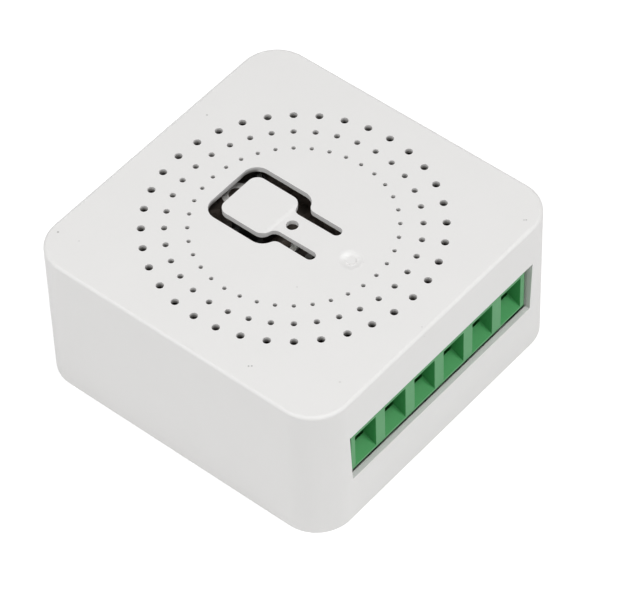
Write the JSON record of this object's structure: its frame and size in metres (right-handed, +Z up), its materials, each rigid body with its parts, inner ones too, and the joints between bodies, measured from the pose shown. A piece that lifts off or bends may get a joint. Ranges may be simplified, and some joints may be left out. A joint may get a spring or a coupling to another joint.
{
  "type": "smart relay module",
  "caption": "Small square white module with a press key and vent rings on top and a green screw terminal row in its front wall, switching a load by an internal relay.",
  "frame": {"origin": "middle of the underside, on the surface that the module rests on", "axes": "+Z up through the top panel, -Y out of the terminal row, +X along the row"},
  "size_m": [0.041, 0.041, 0.0193],
  "materials": {
    "case_plastic": "fine moulded texture, satin white",
    "base_plastic": "fine moulded texture, satin white",
    "board_mask": "black solder mask, half gloss",
    "terminal_plastic": "half-gloss green moulding",
    "terminal_metal": "tinned",
    "screw_steel": "zinc plated",
    "cage_steel": "nickel plated",
    "relay_plastic": "black moulding",
    "bobbin_plastic": "ivory moulding",
    "coil_copper": "varnished wire",
    "soft_iron": "plated iron",
    "contact_brass": "bare strip",
    "contact_silver": "silver button",
    "switch_plastic": "black moulding",
    "switch_metal": "stamped, plated",
    "light_plastic": "white body",
    "light_clear": "clear resin",
    "can_sleeve": "dark shrink sleeve",
    "film_resin": "yellow box",
    "varistor_resin": "blue dipped coat",
    "fuse_coat": "green dipped coat",
    "ferrite": "dark ferrite",
    "chip_resin": "black moulding compound",
    "radio_mask": "green solder mask",
    "shield_metal": "tin plate",
    "chip_ceramic": "fired ceramic",
    "tinned_wire": "tinned",
    "solder": "bright solder"
  },
  "bodies": {
    "module_body": {"upper_case": "case_plastic", "base_cover": "base_plastic", "main_board": "board_mask", "terminal_housing": "terminal_plastic", "terminal_pins": "terminal_metal", "relay_case": "relay_plastic", "relay_base": "relay_plastic", "coil_bobbin": "bobbin_plastic", "coil_winding": "coil_copper", "choke_winding": "coil_copper", "coil_core": "soft_iron", "relay_yoke": "soft_iron", "fixed_contact": "contact_brass", "switch_body": "switch_plastic", "switch_frame": "switch_metal", "switch_dome": "switch_metal", "switch_leads": "switch_metal", "indicator_light": "light_plastic", "light_lens": "light_clear", "input_capacitor": "can_sleeve", "output_capacitor": "can_sleeve", "film_capacitor": "film_resin", "surge_varistor": "varistor_resin", "fuse_resistor": "fuse_coat", "choke_core": "ferrite", "bridge_rectifier": "chip_resin", "converter_chip": "chip_resin", "radio_board": "radio_mask", "radio_shield": "shield_metal", "chip_parts": "chip_ceramic", "relay_pins": "tinned_wire", "component_leads": "tinned_wire", "chip_legs": "tinned_wire", "solder_joints": "solder"},
    "key": {"push_key": "case_plastic"},
    "plunger": {"switch_plunger": "switch_plastic"},
    "armature": {"relay_armature": "soft_iron", "contact_spring": "contact_brass", "moving_contact": "contact_silver"},
    "screw_1": {"clamp_screw_1": "screw_steel"},
    "screw_2": {"clamp_screw_2": "screw_steel"},
    "screw_3": {"clamp_screw_3": "screw_steel"},
    "screw_4": {"clamp_screw_4": "screw_steel"},
    "screw_5": {"clamp_screw_5": "screw_steel"},
    "screw_6": {"clamp_screw_6": "screw_steel"},
    "cage_1": {"clamp_cage_1": "cage_steel"},
    "cage_2": {"clamp_cage_2": "cage_steel"},
    "cage_3": {"clamp_cage_3": "cage_steel"},
    "cage_4": {"clamp_cage_4": "cage_steel"},
    "cage_5": {"clamp_cage_5": "cage_steel"},
    "cage_6": {"clamp_cage_6": "cage_steel"}
  },
  "joints": [
    {"name": "key_press", "type": "hinge", "parent": "module_body", "child": "key", "pos_m": [0, -0.00415, 0.0186], "axis": [-1, 0, 0], "range_deg": [0, 1.6], "stiffness_Nm_per_rad": 0.8},
    {"name": "plunger_slide", "type": "slide", "parent": "module_body", "child": "plunger", "axis": [0, 0, -1], "range_m": [0, 0.00025]},
    {"name": "armature_tilt", "type": "hinge", "parent": "module_body", "child": "armature", "pos_m": [-0.01465, 0.0117, 0.00525], "axis": [0, -1, 0], "range_deg": [0, 3.5], "stiffness_Nm_per_rad": 0.06, "springref_deg": -1.72},
    {"name": "screw_turn_1", "type": "hinge", "parent": "module_body", "child": "screw_1", "pos_m": [-0.0124, -0.01505, 0.0035], "axis": [0, 0, 1], "range_deg": [0, 1440]},
    {"name": "cage_slide_1", "type": "slide", "parent": "module_body", "child": "cage_1", "axis": [0, 0, -1], "range_m": [0, 0.0018]},
    {"name": "screw_turn_2", "type": "hinge", "parent": "module_body", "child": "screw_2", "pos_m": [-0.0074, -0.01505, 0.0035], "axis": [0, 0, 1], "range_deg": [0, 1440]},
    {"name": "cage_slide_2", "type": "slide", "parent": "module_body", "child": "cage_2", "axis": [0, 0, -1], "range_m": [0, 0.0018]},
    {"name": "screw_turn_3", "type": "hinge", "parent": "module_body", "child": "screw_3", "pos_m": [-0.0024, -0.01505, 0.0035], "axis": [0, 0, 1], "range_deg": [0, 1440]},
    {"name": "cage_slide_3", "type": "slide", "parent": "module_body", "child": "cage_3", "axis": [0, 0, -1], "range_m": [0, 0.0018]},
    {"name": "screw_turn_4", "type": "hinge", "parent": "module_body", "child": "screw_4", "pos_m": [0.0026, -0.01505, 0.0035], "axis": [0, 0, 1], "range_deg": [0, 1440]},
    {"name": "cage_slide_4", "type": "slide", "parent": "module_body", "child": "cage_4", "axis": [0, 0, -1], "range_m": [0, 0.0018]},
    {"name": "screw_turn_5", "type": "hinge", "parent": "module_body", "child": "screw_5", "pos_m": [0.0076, -0.01505, 0.0035], "axis": [0, 0, 1], "range_deg": [0, 1440]},
    {"name": "cage_slide_5", "type": "slide", "parent": "module_body", "child": "cage_5", "axis": [0, 0, -1], "range_m": [0, 0.0018]},
    {"name": "screw_turn_6", "type": "hinge", "parent": "module_body", "child": "screw_6", "pos_m": [0.0126, -0.01505, 0.0035], "axis": [0, 0, 1], "range_deg": [0, 1440]},
    {"name": "cage_slide_6", "type": "slide", "parent": "module_body", "child": "cage_6", "axis": [0, 0, -1], "range_m": [0, 0.0018]}
  ],
  "couplings": [
    {"joint": "key_press", "follows": "plunger_slide", "rad_per_m": 111.7},
    {"joint": "screw_turn_1", "follows": "cage_slide_1", "rad_per_m": 13962},
    {"joint": "screw_turn_2", "follows": "cage_slide_2", "rad_per_m": 13962},
    {"joint": "screw_turn_3", "follows": "cage_slide_3", "rad_per_m": 13962},
    {"joint": "screw_turn_4", "follows": "cage_slide_4", "rad_per_m": 13962},
    {"joint": "screw_turn_5", "follows": "cage_slide_5", "rad_per_m": 13962},
    {"joint": "screw_turn_6", "follows": "cage_slide_6", "rad_per_m": 13962}
  ]
}
